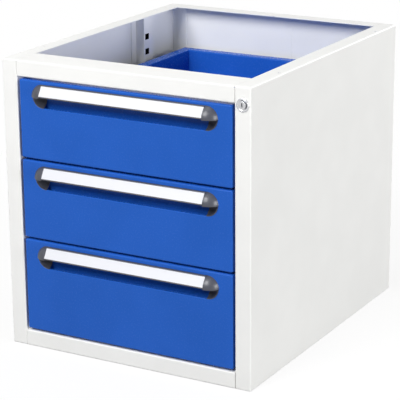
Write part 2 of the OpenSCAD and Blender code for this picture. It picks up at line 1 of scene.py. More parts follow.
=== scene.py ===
# %% [markdown]
# # A drawer unit for under a bench
#
# The real object is folded steel: a white housing, three blue drawers on ball-bearing
# runners, and a long recessed grip on each drawer. The construction model already gives
# every piece its size and place, so this lesson only adds what a construction model
# leaves out: soft folds, pressed and moulded shapes, and finishes. Everything is in
# metres, with X to the right, Y into the depth and Z up.

# %% Load the construction model
import json
import math

import bpy
import bmesh
from mathutils import Matrix, Vector


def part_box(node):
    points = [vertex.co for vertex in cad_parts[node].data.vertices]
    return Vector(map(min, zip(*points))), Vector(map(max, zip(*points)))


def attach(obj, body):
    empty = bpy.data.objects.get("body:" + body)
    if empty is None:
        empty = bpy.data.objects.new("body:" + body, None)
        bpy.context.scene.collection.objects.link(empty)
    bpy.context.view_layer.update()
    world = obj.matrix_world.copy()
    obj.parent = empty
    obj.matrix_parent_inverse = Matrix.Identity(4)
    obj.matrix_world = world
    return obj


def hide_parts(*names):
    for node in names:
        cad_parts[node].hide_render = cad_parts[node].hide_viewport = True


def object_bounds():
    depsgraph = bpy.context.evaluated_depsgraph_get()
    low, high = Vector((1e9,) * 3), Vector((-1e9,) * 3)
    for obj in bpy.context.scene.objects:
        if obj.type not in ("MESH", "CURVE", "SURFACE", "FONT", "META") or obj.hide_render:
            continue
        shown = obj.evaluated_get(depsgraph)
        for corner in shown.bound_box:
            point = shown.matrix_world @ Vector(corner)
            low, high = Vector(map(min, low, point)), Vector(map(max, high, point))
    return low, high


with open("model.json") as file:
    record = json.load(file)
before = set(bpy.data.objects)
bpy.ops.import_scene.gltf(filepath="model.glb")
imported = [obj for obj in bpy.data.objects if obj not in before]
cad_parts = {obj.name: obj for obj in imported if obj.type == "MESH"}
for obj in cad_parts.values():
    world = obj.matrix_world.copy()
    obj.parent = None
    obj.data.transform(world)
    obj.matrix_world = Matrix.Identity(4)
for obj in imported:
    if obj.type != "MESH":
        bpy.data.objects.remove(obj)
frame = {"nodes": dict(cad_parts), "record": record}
cad_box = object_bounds()
MM = 0.001
DRAWERS = ("drawer_1", "drawer_2", "drawer_3")
print("construction box in mm:", [[round(v / MM) for v in corner] for corner in cad_box])

# %% [markdown]
# ## The camera
#
# The photograph looks down on the unit from the front and the right. Its upright edges
# stay nearly parallel, which is the mark of a lens shifted downwards. A shift that large
# would push the object out of the other views, so the camera is aimed at the object
# instead, at the place and lens that come closest to the photograph's edges.

# %% Camera
FRAME_PX = 400
FOCAL_PX = 1707
SENSOR_MM = 36.0
CAMERA_PLACE = Vector((1.520, -2.714, 1.181))
TURN = math.radians(29.54)
LOOK_DOWN = math.radians(16.98)
ROLL = math.radians(-0.47)

camera = bpy.data.objects.new("camera", bpy.data.cameras.new("camera"))
bpy.context.scene.collection.objects.link(camera)
camera.data.sensor_width = SENSOR_MM
camera.data.lens = FOCAL_PX / FRAME_PX * SENSOR_MM
camera.location = CAMERA_PLACE
camera.rotation_euler = (
    Matrix.Rotation(TURN, 3, "Z")
    @ Matrix.Rotation(math.radians(90) - LOOK_DOWN, 3, "X")
    @ Matrix.Rotation(ROLL, 3, "Z")
).to_euler()
bpy.context.scene.camera = camera
print("lens:", round(camera.data.lens, 1), "mm on a", SENSOR_MM, "mm sensor")

# %% [markdown]
# ## Nodes and colours
#
# A material is a small graph of nodes. One function adds a node with its settings and
# links, so that each material below reads as a list of what it is made of. Colours are
# written as the hex values that a painter would pick from a screen, and one function
# turns them into the linear light that the renderer works in.

# %% Helpers for materials
def linear(hex_colour):
    """The linear RGBA of an sRGB colour such as #2b63c8."""
    channels = [int(hex_colour[i : i + 2], 16) / 255 for i in (1, 3, 5)]
    return [c / 12.92 if c <= 0.04045 else ((c + 0.055) / 1.055) ** 2.4 for c in channels] + [1]


def add_node(tree, kind, inputs=None, **settings):
    """Adds a node. inputs gives sockets a value, or the output that feeds them."""
    node = tree.nodes.new("ShaderNode" + kind)
    for name, value in settings.items():
        setattr(node, name, value)
    for name, value in (inputs or {}).items():
        if isinstance(value, bpy.types.NodeSocket):
            tree.links.new(value, node.inputs[name])
        else:
            node.inputs[name].default_value = value
    return node


def new_tree(holder):
    """An empty node tree on a material or world."""
    holder.use_nodes = True
    holder.node_tree.nodes.clear()
    return holder.node_tree


# %% [markdown]
# ## Room and light
#
# The photograph is a packshot: the object stands on white, in soft light. The finger
# recesses, the gaps and the left inside wall are dark, and the back wall is bright, so
# the main lamp stands high in front and a little to the left, and the room itself gives
# little light. A weak lamp overhead lifts the top flanges. A lamp far out on the right,
# not much higher than the object, lights the side evenly, but hardly reaches over the rim
# into the housing. A weak one at the back keeps that side readable from behind. The world
# is pure white only for what the camera sees, directly or in a reflection. The floor is
# pale, and most of its whiteness is its own, so the shadow on it stays faint.

# %% World
AMBIENT = 0.10
WORLD_WHITE = (1, 1, 1, 1)


def seen_ray(tree):
    """1 for rays from the camera and for reflections, and 0 for the light on surfaces."""
    path = add_node(tree, "LightPath")
    shiny = add_node(
        tree, "Math", {0: path.outputs["Is Glossy Ray"], 1: path.outputs["Is Transmission Ray"]},
        operation="MAXIMUM",
    )
    return add_node(
        tree, "Math", {0: path.outputs["Is Camera Ray"], 1: shiny.outputs[0]}, operation="MAXIMUM"
    ).outputs[0]


world = bpy.data.worlds.new("soft white room")
bpy.context.scene.world = world
tree = new_tree(world)
strength = add_node(
    tree, "MapRange", {"Value": seen_ray(tree), "To Min": AMBIENT, "To Max": 1.0}
)
sky = add_node(tree, "Background", {"Color": WORLD_WHITE, "Strength": strength.outputs[0]})
add_node(tree, "OutputWorld", {"Surface": sky.outputs[0]})

# %% Floor
FLOOR_SIZE = 60
FADE_FROM, FADE_TO = 0.4, 1.3
OWN_WHITE_NEAR = 0.86

FLOOR_COLOUR = linear("#fafafa")
BOUNCE_COLOUR = linear("#8c8c8c")

floor_paint = bpy.data.materials.new("matt white floor")
tree = new_tree(floor_paint)
place = add_node(tree, "NewGeometry").outputs["Position"]
reach = add_node(tree, "VectorMath", {0: place}, operation="LENGTH").outputs["Value"]
own_white = add_node(
    tree, "MapRange",
    {"Value": reach, "From Min": FADE_FROM, "From Max": FADE_TO, "To Min": OWN_WHITE_NEAR},
)
lit = add_node(tree, "BsdfDiffuse", {"Color": FLOOR_COLOUR})
white = add_node(tree, "Emission", {"Color": WORLD_WHITE, "Strength": 1.0})
seen = add_node(
    tree, "MixShader", {0: own_white.outputs[0], 1: lit.outputs[0], 2: white.outputs[0]}
)
bounce = add_node(tree, "BsdfDiffuse", {"Color": BOUNCE_COLOUR})
floor_mix = add_node(
    tree, "MixShader", {0: seen_ray(tree), 1: bounce.outputs[0], 2: seen.outputs[0]}
)
add_node(tree, "OutputMaterial", {"Surface": floor_mix.outputs[0]})

bpy.ops.mesh.primitive_plane_add(size=FLOOR_SIZE)
floor = bpy.context.object
floor.name = "floor"
floor.data.materials.append(floor_paint)


# %% Lamps
def soft_lamp(name, place, size, watts):
    """A square lamp at place, aimed at the middle of the object."""
    lamp = bpy.data.objects.new(name, bpy.data.lights.new(name, "AREA"))
    bpy.context.scene.collection.objects.link(lamp)
    lamp.data.size = size
    lamp.data.energy = watts
    lamp.location = place
    aim = (cad_box[0] + cad_box[1]) / 2 - lamp.location
    lamp.rotation_euler = aim.to_track_quat("-Z", "Y").to_euler()


soft_lamp("high_front_lamp", Vector((-0.50, -3.30, 3.00)), 2.0, 171)
soft_lamp("overhead_lamp", Vector((-0.30, -0.50, 4.00)), 1.5, 20)
soft_lamp("low_right_lamp", Vector((5.50, -1.00, 1.00)), 2.0, 184)
soft_lamp("back_lamp", Vector((1.00, 3.00, 1.20)), 1.4, 48)
bpy.context.scene.view_settings.view_transform = "Standard"

# %% [markdown]
# ## Powder coat
#
# Housing and drawers are powder coated: a dry plastic powder that is baked on the
# steel. It flows into a satin skin with a faint ripple, called orange peel, about 2 to
# 4 mm from crest to crest. To the eye that is an even colour, a soft highlight along
# each fold, and no sharp reflections. A polyester coat has an index of 1.5. Noise nodes
# at the ripple's real width drive the bump and vary the roughness a little.

# %% Powder coat
PEEL_WIDTH = 3.0 * MM
PEEL_HEIGHT = 0.012 * MM
CLOUD_WIDTH = 90 * MM
COAT_INDEX = 1.5
COAT_SPREAD = 0.03
NOISE_LOW, NOISE_HIGH = 0.3, 0.7
RAMP_LOW, RAMP_HIGH = 0.35, 0.65


def object_noise(tree, width, detail=2.0):
    """Noise in the piece's own coordinates, with blotches about as wide as width."""
    place = add_node(tree, "TexCoord").outputs["Object"]
    return add_node(tree, "TexNoise", {"Vector": place, "Scale": 1 / width, "Detail": detail})


def spread(tree, noise, low, high):
    """Turns the range that a noise mostly fills into the range from low to high."""
    return add_node(
        tree, "MapRange",
        {
            "Value": noise.outputs[0], "From Min": NOISE_LOW, "From Max": NOISE_HIGH,
            "To Min": low, "To Max": high,
        },
    ).outputs[0]


def mixed_colour(tree, noise, low, high):
    """A colour that wanders between two hex values."""
    ramp = add_node(tree, "ValToRGB", {0: noise.outputs[0]})
    ramp.color_ramp.elements[0].position = RAMP_LOW
    ramp.color_ramp.elements[1].position = RAMP_HIGH
    ramp.color_ramp.elements[0].color = linear(low)
    ramp.color_ramp.elements[1].color = linear(high)
    return ramp.outputs[0]


# %% [markdown]
# ## Painted shade inside the uprights
#
# The uprights are closed channels against the side panels. Their slots show black, the
# shade inside the channels, and the coat paints that shade. A separate material on those
# faces would need the sheets to be split. Here the coat asks for its own place on the
# object, and turns to a dark painted shade between the upright's web and the panel's
# skin.

# %% Painted shade inside the uprights
UPRIGHT_FOOT = 17 * MM
UPRIGHT_SHEET = 1.5 * MM
PANEL_SKIN = 0.5 * MM
# A Mix node lists its number and vector sockets before its colour sockets.
MIX_A, MIX_B, MIX_RESULT = 6, 7, 2
FOOT_AND_SHEET = UPRIGHT_FOOT + UPRIGHT_SHEET / 2

upright_boxes = [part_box(name) for name in ("front_right_upright", "rear_right_upright")]
WEB_X = upright_boxes[0][0].x + UPRIGHT_SHEET / 2
PANEL_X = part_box("right_side_panel")[1].x - PANEL_SKIN
# The shade is painted between these two distances from the middle.
print("bare steel from x =", round(WEB_X / MM, 2), "to", round(PANEL_X / MM, 2), "mm")


def within(tree, value, low, high):
    """1 where a value lies between low and high, and 0 elsewhere."""
    return add_node(
        tree, "Math", {0: value, 1: (low + high) / 2, 2: (high - low) / 2}, operation="COMPARE"
    ).outputs[0]


def combined(tree, operation, first, second):
    return add_node(tree, "Math", {0: first, 1: second}, operation=operation).outputs[0]


def upright_shade_mask(tree):
    """1 where shade is painted, in the closed space between an upright and its side panel, and 0
    elsewhere.
    """
    place = add_node(tree, "TexCoord").outputs["Object"]
    axes = add_node(tree, "SeparateXYZ", {0: place}).outputs
    off_middle = add_node(tree, "Math", {0: axes["X"]}, operation="ABSOLUTE").outputs[0]
    across = within(tree, off_middle, WEB_X, PANEL_X)
    upright_low, upright_high = upright_boxes[0]
    upwards = within(tree, axes["Z"], upright_low.z, upright_high.z)
    front, rear = [
        within(tree, axes["Y"], low.y + FOOT_AND_SHEET, high.y - FOOT_AND_SHEET)
        for low, high in upright_boxes
    ]
    either = combined(tree, "ADD", front, rear)
    return combined(tree, "MULTIPLY", combined(tree, "MULTIPLY", either, across), upwards)


# %% Coats
def powder_coat(name, low, high, roughness, specular, shaded=None):
    """A coat between two colours. Its optional last colour is painted shade inside the uprights."""
    material = bpy.data.materials.new(name)
    tree = new_tree(material)
    peel = object_noise(tree, PEEL_WIDTH)
    cloud = object_noise(tree, CLOUD_WIDTH)
    colour = mixed_colour(tree, cloud, low, high)
    # Painted shade: the coat turns dark inside the uprights, so their slots show black.
    if shaded:
        mix = add_node(tree, "Mix", {0: upright_shade_mask(tree)}, data_type="RGBA")
        tree.links.new(colour, mix.inputs[MIX_A])
        mix.inputs[MIX_B].default_value = linear(shaded)
        colour = mix.outputs[MIX_RESULT]
    bump = add_node(
        tree, "Bump", {"Height": peel.outputs[0], "Distance": PEEL_HEIGHT, "Strength": 1.0}
    )
    coat = add_node(
        tree, "BsdfPrincipled",
        {
            "Base Color": colour,
            "Roughness": spread(tree, peel, roughness - COAT_SPREAD, roughness + COAT_SPREAD),
            "IOR": COAT_INDEX,
            "Specular IOR Level": specular,
            "Normal": bump.outputs[0],
        },
    )
    add_node(tree, "OutputMaterial", {"Surface": coat.outputs[0]})
    return material


# The dark colour of the painted shade inside the uprights.
UPRIGHT_SHADE_COLOUR = "#26282b"
white_coat = powder_coat("white powder coat", "#f1f1ef", "#f4f4f2", 0.42, 0.3, UPRIGHT_SHADE_COLOUR)
blue_coat = powder_coat("gentian blue powder coat", "#205bba", "#235ebf", 0.26, 0.16)

# %% [markdown]
# ## Moulded plastic and label film
#
# Grip hoods and end caps are injection-moulded ABS, filled dark grey. The mould is
# spark-eroded, which leaves a grain of about half a millimetre, so the plastic has a
# broad dull highlight. The grain is drawn at 0.8 mm, because a finer one would vanish
# between the pixels. The label strip is off-white card under a clear satin film, and has
# nothing printed on it.

# %% Plastics
GRAIN_WIDTH = 0.8 * MM
GRAIN_HEIGHT = 0.02 * MM
GRAIN_SPREAD = 0.05
PLASTIC_INDEX = 1.54


def moulded_plastic(name, low, high, roughness):
    material = bpy.data.materials.new(name)
    tree = new_tree(material)
    grain = object_noise(tree, GRAIN_WIDTH, detail=3.0)
    bump = add_node(
        tree, "Bump", {"Height": grain.outputs[0], "Distance": GRAIN_HEIGHT, "Strength": 1.0}
    )
    body = add_node(
        tree, "BsdfPrincipled",
        {
            "Base Color": mixed_colour(tree, grain, low, high),
            "Roughness": spread(tree, grain, roughness - GRAIN_SPREAD, roughness + GRAIN_SPREAD),
            "IOR": PLASTIC_INDEX,
            "Normal": bump.outputs[0],
        },
    )
    add_node(tree, "OutputMaterial", {"Surface": body.outputs[0]})
    return material


grip_plastic = moulded_plastic("dark grey ABS", "#3b3d47", "#44464f", 0.36)
label_film = moulded_plastic("white card under film", "#d8d9de", "#dbdce1", 0.42)

# %% [markdown]
# ## Plated steel and brass
#
# Runners, screws and the locking bar are cold-rolled steel with a zinc plating. Rolling
# leaves fine lines along the length, and the plating has a cloudy, slightly blue
# spangle. The lines come from a noise that is stretched along Y, the runners' length.
# The lock is turned brass with satin chrome, so its lines would be too fine to see, and
# the ball cages are punched from passivated strip with a yellow cast. A metal keeps the
# renderer's default index, because its colour comes from the base colour alone.

# %% Metals
ROLLING_WIDTH = 0.9 * MM
SPANGLE_WIDTH = 12 * MM
ROLLING_SPREAD = 0.07
ROLLED_ALONG_Y = (1.0, 0.02, 1.0)


def plated_metal(name, low, high, roughness, line_stretch=(1.0, 1.0, 1.0)):
    material = bpy.data.materials.new(name)
    tree = new_tree(material)
    place = add_node(tree, "TexCoord").outputs["Object"]
    drawn = add_node(tree, "Mapping", {"Vector": place, "Scale": line_stretch})
    lines = add_node(
        tree, "TexNoise", {"Vector": drawn.outputs[0], "Scale": 1 / ROLLING_WIDTH, "Detail": 3.0}
    )
    spangle = object_noise(tree, SPANGLE_WIDTH, detail=4.0)
    metal = add_node(
        tree, "BsdfPrincipled",
        {
            "Base Color": mixed_colour(tree, spangle, low, high),
            "Metallic": 1.0,
            "Roughness": spread(
                tree, lines, roughness - ROLLING_SPREAD, roughness + ROLLING_SPREAD
            ),
        },
    )
    add_node(tree, "OutputMaterial", {"Surface": metal.outputs[0]})
    return material


zinc_plate = plated_metal("zinc-plated steel", "#b3b8be", "#c6cacf", 0.36, ROLLED_ALONG_Y)
screw_zinc = plated_metal("bright zinc on screws", "#bdbfc1", "#cfd1d2", 0.3)
cage_metal = plated_metal("passivated strip and balls", "#a89766", "#bfae7a", 0.33)
lock_chrome = plated_metal("satin chrome on brass", "#c9cacd", "#d6d7da", 0.22)

# %% [markdown]
# ## Finishes on the construction model's own pieces
#
# The record names a slot for each piece, such as housing or runner_steel. A piece whose
# shape is already right, such as a folded panel, only gets the finish of its slot.

# %% Assign finishes by slot
FINISHES = {
    "housing": white_coat,
    "drawer_blue": blue_coat,
    "grip_plastic": grip_plastic,
    "label_white": label_film,
    "runner_steel": zinc_plate,
    "zinc_steel": screw_zinc,
    "cage_steel": cage_metal,
    "lock_chrome": lock_chrome,
}
for subpart in frame["record"]["subparts"]:
    mesh = frame["nodes"][subpart["node"]].data
    mesh.materials.clear()
    mesh.materials.append(FINISHES[subpart["material_slot"]])
print("finished", len(frame["nodes"]), "construction pieces")

# %% [markdown]
# ## Tools for sheet and moulded shapes
#
# Most pieces are an outline pushed along a line, or rings joined into a skin. The
# helpers keep those two ideas apart. `filleted` rounds the corners of an outline,
# `folded` turns a bent line into the outline of a sheet with real inside and outside
# bend radii, `extruded` pushes an outline along an axis, and `lofted` joins rings.

# %% Outlines
def filleted(corners, steps=5):
    """A closed outline. Each corner is (u, v, radius)."""
    outline = []
    for i, (u, v, radius) in enumerate(corners):
        corner = Vector((u, v))
        before = Vector(corners[i - 1][:2]) - corner
        after = Vector(corners[(i + 1) % len(corners)][:2]) - corner
        if radius == 0:
            outline.append(corner)
            continue
        half = before.angle(after) / 2
        middle = corner + (before.normalized() + after.normalized()).normalized() * (
            radius / math.sin(half)
        )
        first = corner + before.normalized() * (radius / math.tan(half)) - middle
        last = corner + after.normalized() * (radius / math.tan(half)) - middle
        turn = math.atan2(first.x * last.y - first.y * last.x, first.dot(last))
        for k in range(steps + 1):
            outline.append(middle + Matrix.Rotation(turn * k / steps, 2) @ first)
    return outline


def folded(path, sheet, bend, steps=4):
    """Outline of a folded sheet. One face follows path, and the sheet lies on its left."""
    points = [Vector(p) for p in path]
    near, far = [], []
    for i, point in enumerate(points):
        ahead = (points[min(i + 1, len(points) - 1)] - point).normalized()
        behind = (point - points[max(i - 1, 0)]).normalized()
        ahead, behind = (ahead or behind), (behind or ahead)
        if i == 0:
            behind = ahead
        if i == len(points) - 1:
            ahead = behind
        left = Vector((-behind.y, behind.x))
        mitre = left + Vector((-ahead.y, ahead.x))
        mitre *= sheet / mitre.dot(left)
        turn = behind.x * ahead.y - behind.y * ahead.x
        ends = i in (0, len(points) - 1)
        near.append((*point, 0 if ends else bend + sheet if turn > 0 else bend))
        far.append((*(point + mitre), 0 if ends else bend if turn > 0 else bend + sheet))
    return filleted(near + far[::-1], steps)


# %% Skins
def lofted(rings, first_closed=True, last_closed=True):
    """Vertices and faces that join rings of equally many points."""
    count = len(rings[0])
    faces = []
    for r in range(len(rings) - 1):
        for k in range(count):
            a, b = r * count + k, r * count + (k + 1) % count
            faces.append((a, b, b + count, a + count))
    if first_closed:
        faces.append(tuple(range(count))[::-1])
    if last_closed:
        faces.append(tuple(range((len(rings) - 1) * count, len(rings) * count)))
    return [p for ring in rings for p in ring], faces


def extruded(outline, axis, low, high):
    """Pushes an outline along X, where it is (Y, Z), or along Y, where it is (X, Z)."""
    if axis == "X":
        return lofted([[(at, u, v) for u, v in outline] for at in (low, high)])
    return lofted([[(u, at, v) for u, v in outline] for at in (low, high)])


TURN_STEPS = 48


def round_ring(radius, x, y, z):
    """A ring round an axis along Y. radius is a number, or a function of the angle."""
    angles = [2 * math.pi * k / TURN_STEPS for k in range(TURN_STEPS)]
    reach = [radius(a) if callable(radius) else radius for a in angles]
    return [(x + r * math.cos(a), y, z + r * math.sin(a)) for r, a in zip(reach, angles)]


def turned(profile, x, z, hollow=False):
    """Turns (radius, y) round an axis along Y. A hollow profile closes on itself."""
    rings = [round_ring(radius, x, y, z) for radius, y in profile]
    if hollow:
        return lofted(rings + rings[:1], False, False)
    return lofted(rings)


# %% Pieces
SHARP_ANGLE = math.radians(32)
WELD_DISTANCE = 0.002 * MM


def piece(name, shapes, body, slot, *nodes):
    """One object from several (vertices, faces), riding on body and standing for nodes."""
    mesh = bpy.data.meshes.new(name)
    welded = bmesh.new()
    for vertices, faces in shapes:
        corners = [welded.verts.new(p) for p in vertices]
        for face in faces:
            welded.faces.new([corners[k] for k in face])
    bmesh.ops.remove_doubles(welded, verts=welded.verts, dist=WELD_DISTANCE)
    bmesh.ops.dissolve_degenerate(welded, edges=welded.edges, dist=WELD_DISTANCE)
    bmesh.ops.recalc_face_normals(welded, faces=welded.faces)
    welded.to_mesh(mesh)
    welded.free()
    mesh.shade_smooth()
    mesh.set_sharp_from_angle(angle=SHARP_ANGLE)
    mesh.materials.append(FINISHES[slot])
    made = bpy.data.objects.new(name, mesh)
    bpy.context.scene.collection.objects.link(made)
    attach(made, body)
    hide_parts(*nodes)
    return made


def keep_flats_flat(made):
    """Lets large faces decide the shading, so that flats stay flat beside a fold."""
    made.modifiers.new("flat faces", "WEIGHTED_NORMAL").keep_sharp = True


# %% [markdown]
# ## Drawer fronts
#
# A front is one steel sheet. Its edges are folded back 18 mm and then inwards, and the
# finger recess is pressed into it with a rounded tool. It could be cut from a box with
# booleans, but then the pressed edge stays knife-sharp. Here it is a loft: rings run
# from the bottom of the recess, over its soft rim, across the flat and round the folds.
# All rings have the same number of points, and the sheet's thickness comes last.
#
# In the photograph each recess is evenly dark, down to a crisp lower edge, so light from
# above never reaches what the camera sees of it. The construction model has a plain arc
# there, whose floor would catch the main lamp. So the rings sink the deeper they lie, and
# the floor hides behind the lower rim.

# %% Shared sizes of the grip
GRIP_H = 45 * MM
HOOD_SEAT = 1 * MM
RECESS_DEPTH = 14.5 * MM
RECESS_HALF = GRIP_H / 2 - HOOD_SEAT
RIM_R = 1.5 * MM
ARC_STEPS = 16

cap_low, cap_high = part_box("drawer_1_cap_right")
GRIP_HALF = cap_high.x
END_X = GRIP_HALF - GRIP_H / 2
CAP_X = cap_low.x
RECESS_R = (RECESS_HALF**2 + RECESS_DEPTH**2) / (2 * RECESS_DEPTH)
Y_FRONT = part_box("drawer_1_front")[0].y
RECESS_Y = Y_FRONT - (RECESS_R - RECESS_DEPTH)
print("recess is part of a circle of radius", round(RECESS_R / MM, 2), "mm")


def grip_height(drawer):
    """Height of the middle of a drawer's grip."""
    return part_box(drawer + "_handle_hood")[1].z - GRIP_H / 2


def half_turn(steps):
    """Angles from straight up, round the right, to straight down."""
    return [math.radians(90 - 180 * k / steps) for k in range(steps + 1)]


# %% Rings of a front
def long_ring(radius, y, z):
    """A ring with straight sides and round ends, round the grip's middle line."""
    right = [
        (END_X + radius * math.cos(a), y, z + radius * math.sin(a)) for a in half_turn(ARC_STEPS)
    ]
    left = [(-x, y, 2 * z - height) for x, y, height in right]
    return right + left


def square_ring(half_x, low, high, radius, y):
    """A rectangle with rounded corners, with as many points as a long ring."""
    quarter = ARC_STEPS // 2
    right = []
    for k, a in enumerate(half_turn(ARC_STEPS)):
        if k == quarter:
            right.append((half_x, y, (low + high) / 2))
            continue
        corner_z = high - radius if k < quarter else low + radius
        share = k / (quarter - 1) if k < quarter else (k - quarter - 1) / (quarter - 1)
        angle = math.radians(90 - 90 * share) if k < quarter else math.radians(-90 * share)
        right.append(
            (half_x - radius + radius * math.cos(angle), y, corner_z + radius * math.sin(angle))
        )
    left = [(-x, y, low + high - height) for x, y, height in right]
    return right + left


EDGE_R = 3 * MM
BACK_R = 2 * MM
FRONT_SHEET = 1.2 * MM
FOLD_SIDE = 30 * MM
FOLD_END = 10 * MM
FOLD_STEPS = 6
RECESS_STEPS = 11
FLAT_START = 0.3 * MM
CORNER_MORE = 1 * MM
SINK = 15 * MM
SINK_DEPTH = 12 * MM


def sunk(y):
    """How far a ring of the recess lies below the grip's middle: SINK at SINK_DEPTH."""
    return SINK * (max(y - Y_FRONT, 0) / SINK_DEPTH) ** 2


def recess_rings(z):
    """From near the bottom of the recess out to where its rim meets the flat."""
    rim_reach = math.sqrt((RECESS_R + RIM_R) ** 2 - (RECESS_R - RECESS_DEPTH + RIM_R) ** 2)
    wall_angle = math.asin(rim_reach / (RECESS_R + RIM_R))
    rings = []
    for k in range(1, RECESS_STEPS + 1):
        angle = wall_angle * k / RECESS_STEPS
        rings.append((RECESS_R * math.sin(angle), RECESS_Y + RECESS_R * math.cos(angle)))
    for k in range(1, FOLD_STEPS + 1):
        angle = wall_angle * (1 - k / FOLD_STEPS)
        rim_y = Y_FRONT + RIM_R * (1 - math.cos(angle))
        rings.append((rim_reach - RIM_R * math.sin(angle), rim_y))
    rings.append((rim_reach + FLAT_START, Y_FRONT))
    return [long_ring(radius, y, z - sunk(y)) for radius, y in rings]


def drawer_front(drawer):
    low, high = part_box(drawer + "_front")
    rings = recess_rings(grip_height(drawer))

    def outline(inset, y, inset_z=None):
        inset_z = inset if inset_z is None else inset_z
        corner = max(EDGE_R + CORNER_MORE - inset, CORNER_MORE)
        return square_ring(high.x - inset, low.z + inset_z, high.z - inset_z, corner, y)

    rings.append(outline(EDGE_R + FLAT_START, low.y))
    quarter_turn = [math.radians(90 * k / FOLD_STEPS) for k in range(FOLD_STEPS + 1)]
    for a in quarter_turn:
        rings.append(outline(EDGE_R * (1 - math.sin(a)), low.y + EDGE_R * (1 - math.cos(a))))
    for a in quarter_turn:
        rings.append(outline(BACK_R * (1 - math.cos(a)), high.y - BACK_R * (1 - math.sin(a))))
    rings.append(outline(FOLD_SIDE, high.y, FOLD_END))
    made = piece(
        drawer + "_pressed_front", [lofted(rings, last_closed=False)], drawer, "drawer_blue",
        drawer + "_front",
    )
    thickness = made.modifiers.new("sheet thickness", "SOLIDIFY")
    thickness.thickness = FRONT_SHEET
    thickness.offset = -1
    thickness.use_even_offset = True
    keep_flats_flat(made)


for drawer in DRAWERS:
    drawer_front(drawer)

# %% [markdown]
# ## Trays
#
# The tray behind each front is bent from flat sheet: one piece makes the floor, both
# sides and their rims, and two more close the ends. Modelled as one box, it would show
# no bend lines. So each sheet is a folded outline pushed along its own bend lines.

# %% Trays
TRAY_SHEET = 1.2 * MM
TRAY_BEND = 1.6 * MM
BACK_RIM = 18 * MM
SIDE_RIM = 19.5 * MM
END_FLANGE = 12 * MM


def drawer_tray(drawer):
    low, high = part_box(drawer + "_tray")
    wall_x = high.x - SIDE_RIM
    wall_y = high.y - BACK_RIM
    half = [(high.x, high.z), (wall_x, high.z), (wall_x, low.z)]
    path = half + [(-x, z) for x, z in half[::-1]]
    body_sheet = extruded(folded(path, -TRAY_SHEET, TRAY_BEND), "Y", low.y, high.y)
    end_x = wall_x - TRAY_SHEET
    floor_z = low.z + TRAY_SHEET
    front_end = extruded(
        folded(
            [(low.y + END_FLANGE, floor_z), (low.y, floor_z), (low.y, high.z)],
            -TRAY_SHEET, TRAY_BEND,
        ),
        "X", -end_x, end_x,
    )
    back_end = extruded(
        folded(
            [(wall_y - END_FLANGE, floor_z), (wall_y, floor_z), (wall_y, high.z), (high.y, high.z)],
            TRAY_SHEET, TRAY_BEND,
        ),
        "X", -end_x, end_x,
    )
    made = piece(
        drawer + "_bent_tray", [body_sheet, front_end, back_end], drawer, "drawer_blue",
        drawer + "_tray",
    )
    keep_flats_flat(made)


for drawer in DRAWERS:
    drawer_tray(drawer)

# %% [markdown]
# ## Grip hoods and label strips
#
# The hood is a plastic extrusion: a round shoulder, a flat slope that carries the label,
# and a turned-in nose for the fingers. Its outline is drawn once, with a radius at each
# corner, and pushed along X between the end caps. The label lies on the slope. A short
# leg reaches 3 mm into the recess and holds the hood. Each corner is (distance behind the
# face, height above the grip's middle, radius), in millimetres.

# %% Hoods and labels
HOOD_TOP = GRIP_H / 2 / MM
LABEL_TOP, LABEL_LOW = 20.7, 4.0
SHOULDER = (-4.11, HOOD_TOP, 2.2)
NOSE_OUT, NOSE_IN = (-16.07, 2.19, 0.85), (-14.51, 1.28, 0.85)
UNDER_SHOULDER = [(-3.08, LABEL_TOP, 0.4), (-1.2, 20.2, 0.8), (0, 19.3, 0.5)]
LEG = [(3, 17.85, 0.3), (3, 19.6, 0.3)]
LEG_ROOT = (0, 21.1, 0.1)
HOOD_OUTLINE = [(0, HOOD_TOP, 0.3), SHOULDER, NOSE_OUT, NOSE_IN, *UNDER_SHOULDER, *LEG, LEG_ROOT]
LABEL_OUTLINE = [
    (-5.17, LABEL_TOP, 0.1), (-5.97, LABEL_TOP, 0.35),
    (-15.8, LABEL_LOW, 0.35), (-15.0, LABEL_LOW, 0.1),
]
LABEL_GAP = 0.2 * MM


def placed(outline, z):
    """An outline in millimetres from the face of the front and the middle of the grip."""
    return [(Y_FRONT + u * MM, z + v * MM) for u, v in filleted(outline)]


for drawer in DRAWERS:
    middle = grip_height(drawer)
    hood = piece(
        drawer + "_extruded_hood",
        [extruded(placed(HOOD_OUTLINE, middle), "X", -CAP_X, CAP_X)],
        drawer, "grip_plastic", drawer + "_handle_hood",
    )
    keep_flats_flat(hood)
    label_x = CAP_X - LABEL_GAP
    label = piece(
        drawer + "_blank_label",
        [extruded(placed(LABEL_OUTLINE, middle), "X", -label_x, label_x)],
        drawer, "label_white", drawer + "_label_strip",
    )
    keep_flats_flat(label)

# %% [markdown]
# ## End caps
#
# Each cap closes the hood with a dome above and lines the end of the recess below. Both
# are the same idea: a thin section, drawn by its distance from the cap's centre, swept
# along a straight start and then round the end. Swept from the top round to the middle
# it makes the dome, and swept all the way round it makes the lining.

# %% End caps
HOOD_OUT = Y_FRONT - cap_low.y
DOME_HALF = GRIP_H / 2
DOME_R = (DOME_HALF**2 + HOOD_OUT**2) / (2 * HOOD_OUT)
DOME_Y = Y_FRONT + DOME_R - HOOD_OUT
CAP_WALL = 1.8 * MM
LINING_GAP = 0.2 * MM
LINING_WALL = 1.2 * MM
CAP_ARC_STEPS = 24


def arc_section(radius, centre_y, reach, towards_front, steps=10):
    """Points (distance, y) on a circle, from its pole out to the distance reach."""
    sign = -1 if towards_front else 1
    stop = math.asin(min(reach / radius, 1))
    return [
        (radius * math.sin(stop * k / steps), centre_y + sign * radius * math.cos(stop * k / steps))
        for k in range(steps + 1)
    ]


def swept(section, columns):
    """Sweeps (distance, y) through columns of (centre x, centre z, angle)."""
    rings = [
        [(x + d * math.cos(a), y, z + d * math.sin(a)) for d, y in section] for x, z, a in columns
    ]
    return lofted(rings)


def mirrored(shape, side):
    vertices, faces = shape
    return [(side * x, y, z) for x, y, z in vertices], faces


